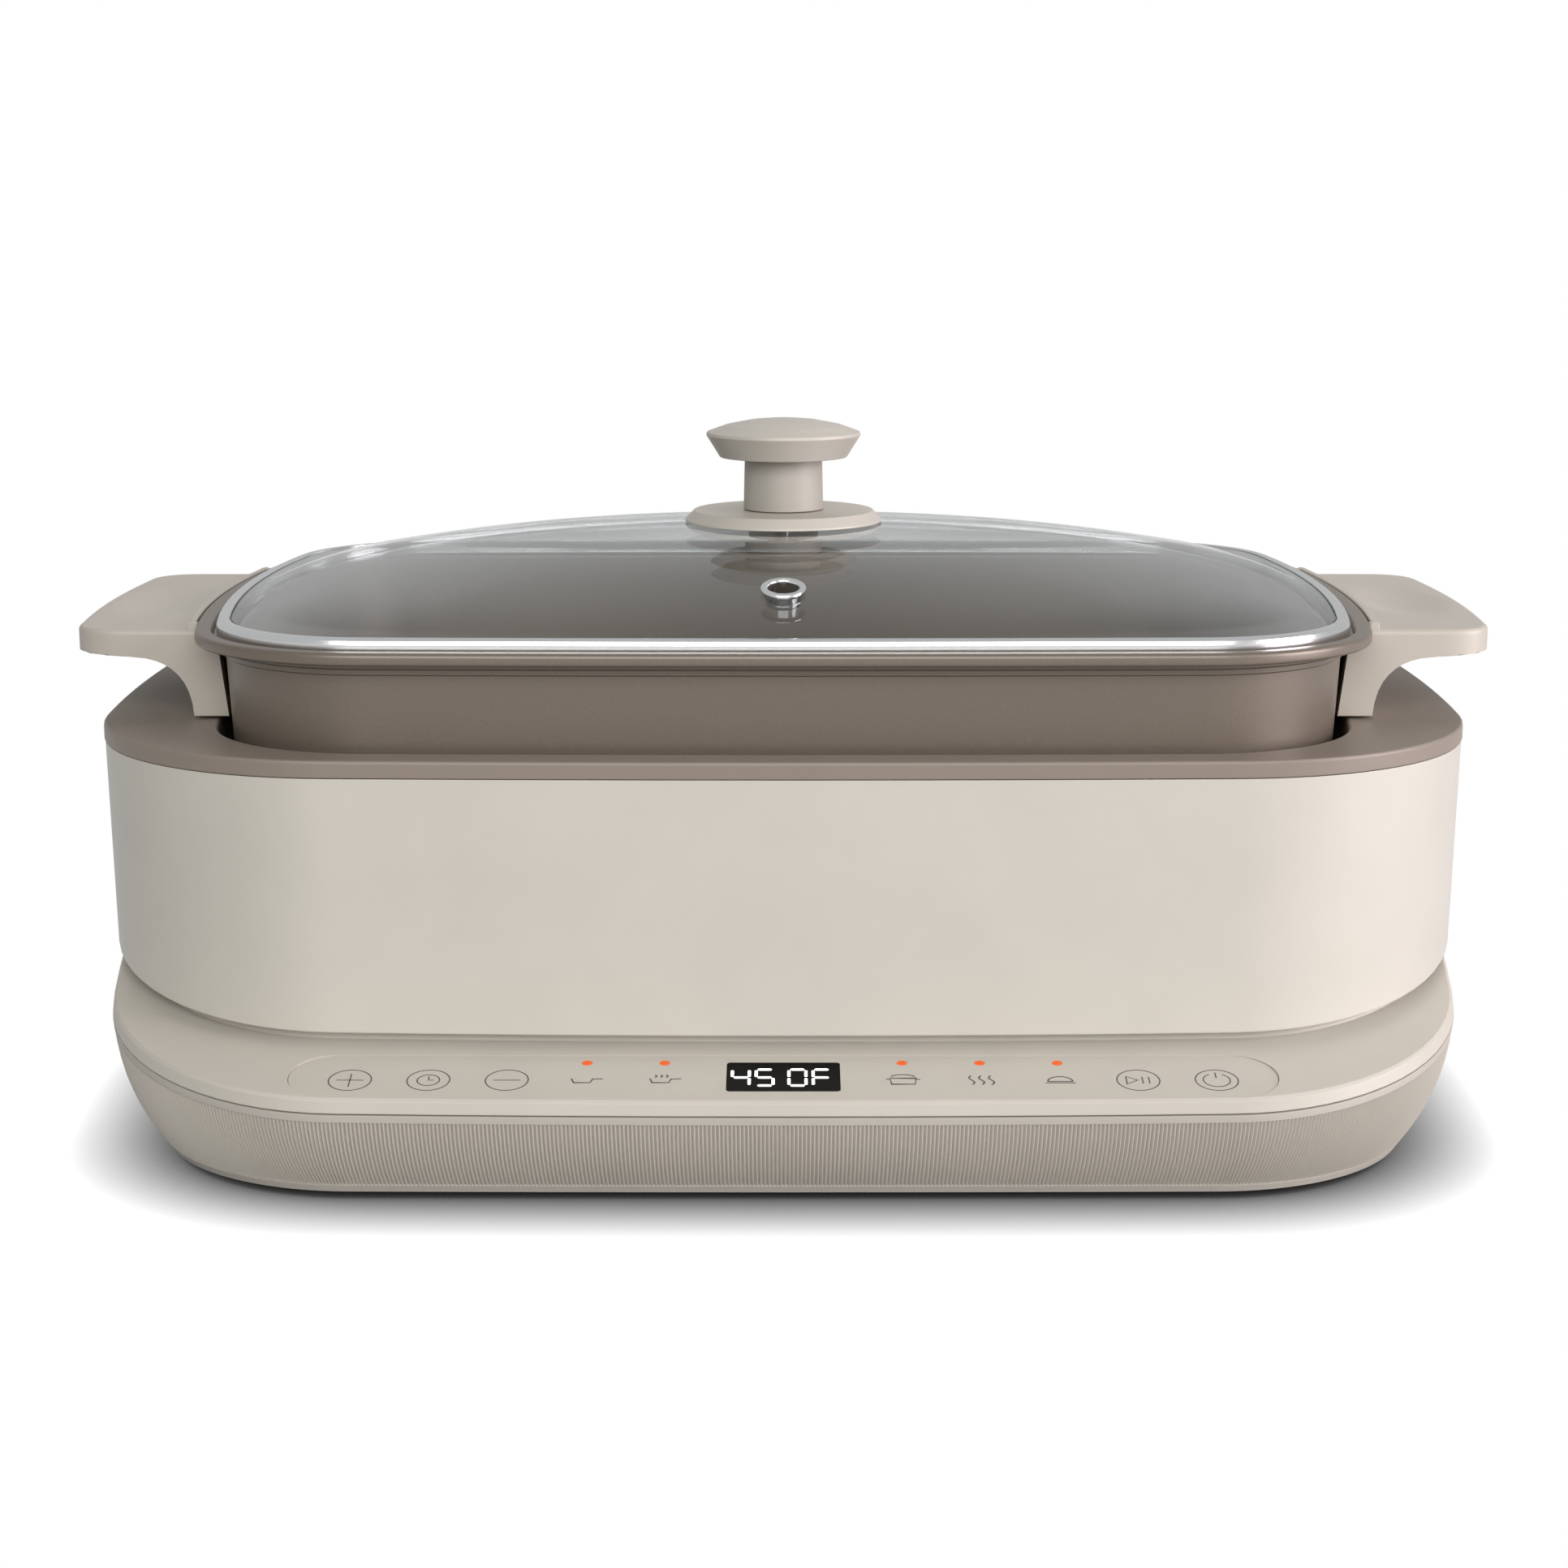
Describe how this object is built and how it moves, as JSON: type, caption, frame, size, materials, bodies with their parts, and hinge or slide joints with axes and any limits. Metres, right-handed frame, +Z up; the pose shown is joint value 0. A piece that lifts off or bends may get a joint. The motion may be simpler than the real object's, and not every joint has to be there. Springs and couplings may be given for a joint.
{
  "type": "slow cooker",
  "caption": "Rectangular countertop slow cooker: wedge-shaped base with a sloping touch panel, lift-out two-handled cooking pot and a domed glass lid with a knob.",
  "frame": {"origin": "on the worktop, under the middle of the whole part's box", "axes": "+X to the right, seen from the front, along the longer side from handle to handle; -Y towards the front with the touch panel; +Z up"},
  "size_m": [0.471, 0.3192, 0.2256],
  "materials": {
    "cream": "satin moulded plastic, warm cream",
    "greige": "satin moulded plastic, warm light grey",
    "taupe": "satin heat-resistant plastic, grey-brown",
    "panel": "smooth printed overlay with grey marks",
    "pot_coat": "non-stick coating on cast aluminium, grey-brown",
    "steel": "polished stainless steel",
    "tinned": "plain coated steel sheet",
    "aluminium": "plain cast aluminium",
    "glass": "clear tempered glass",
    "black_window": "smoked window over a lit display",
    "amber": "lit amber light guide",
    "board": "circuit board",
    "dark": "dark moulded plastic",
    "rubber": "dark soft rubber",
    "fibre": "glass-fibre felt",
    "wire": "heat-resistant sleeving on copper wire"
  },
  "bodies": {
    "base": {"deck_cover": "cream", "body_shell": "cream", "lower_housing": "greige", "top_ring": "taupe", "control_panel_overlay": "panel", "base_screw_1": "steel", "base_screw_2": "steel", "base_screw_3": "steel", "base_screw_4": "steel", "inlet_pin_1": "steel", "inlet_pin_2": "steel", "sensor_spring": "steel", "thermal_fuse": "steel", "heating_well": "tinned", "heating_element": "tinned", "heat_plate": "aluminium", "display_window": "black_window", "relay": "black_window", "indicator_light_1": "amber", "indicator_light_2": "amber", "indicator_light_3": "amber", "indicator_light_4": "amber", "indicator_light_5": "amber", "control_board": "board", "power_board": "board", "display_module": "dark", "transformer": "dark", "capacitor": "dark", "power_inlet": "dark", "foot_1": "rubber", "foot_2": "rubber", "foot_3": "rubber", "foot_4": "rubber", "insulation_band": "fibre", "ribbon_cable": "wire", "mains_wire_1": "wire", "mains_wire_2": "wire", "heater_wire_1": "wire", "heater_wire_2": "wire"},
    "sensor": {"temperature_sensor": "aluminium", "sensor_clip": "steel"},
    "pot": {"cooking_pot": "pot_coat", "handle_right": "greige", "handle_left": "greige", "handle_screw_1": "steel", "handle_screw_2": "steel", "handle_screw_3": "steel", "handle_screw_4": "steel"},
    "lid": {"lid_glass": "glass", "lid_rim": "steel", "vent_grommet": "steel", "knob_base": "greige", "lid_knob": "greige", "knob_washer": "rubber", "knob_screw": "steel"}
  },
  "joints": [
    {"name": "pot_lift", "type": "slide", "parent": "base", "child": "pot", "axis": [0, 0, 1], "range_m": [0, 0.12]},
    {"name": "lid_lift", "type": "slide", "parent": "pot", "child": "lid", "axis": [0, 0, 1], "range_m": [0, 0.1]},
    {"name": "sensor_press", "type": "slide", "parent": "base", "child": "sensor", "axis": [0, 0, 1], "range_m": [-0.0025, 0], "stiffness_N_per_m": 300, "springref_m": 0.004, "deforming": ["sensor_spring"]}
  ]
}
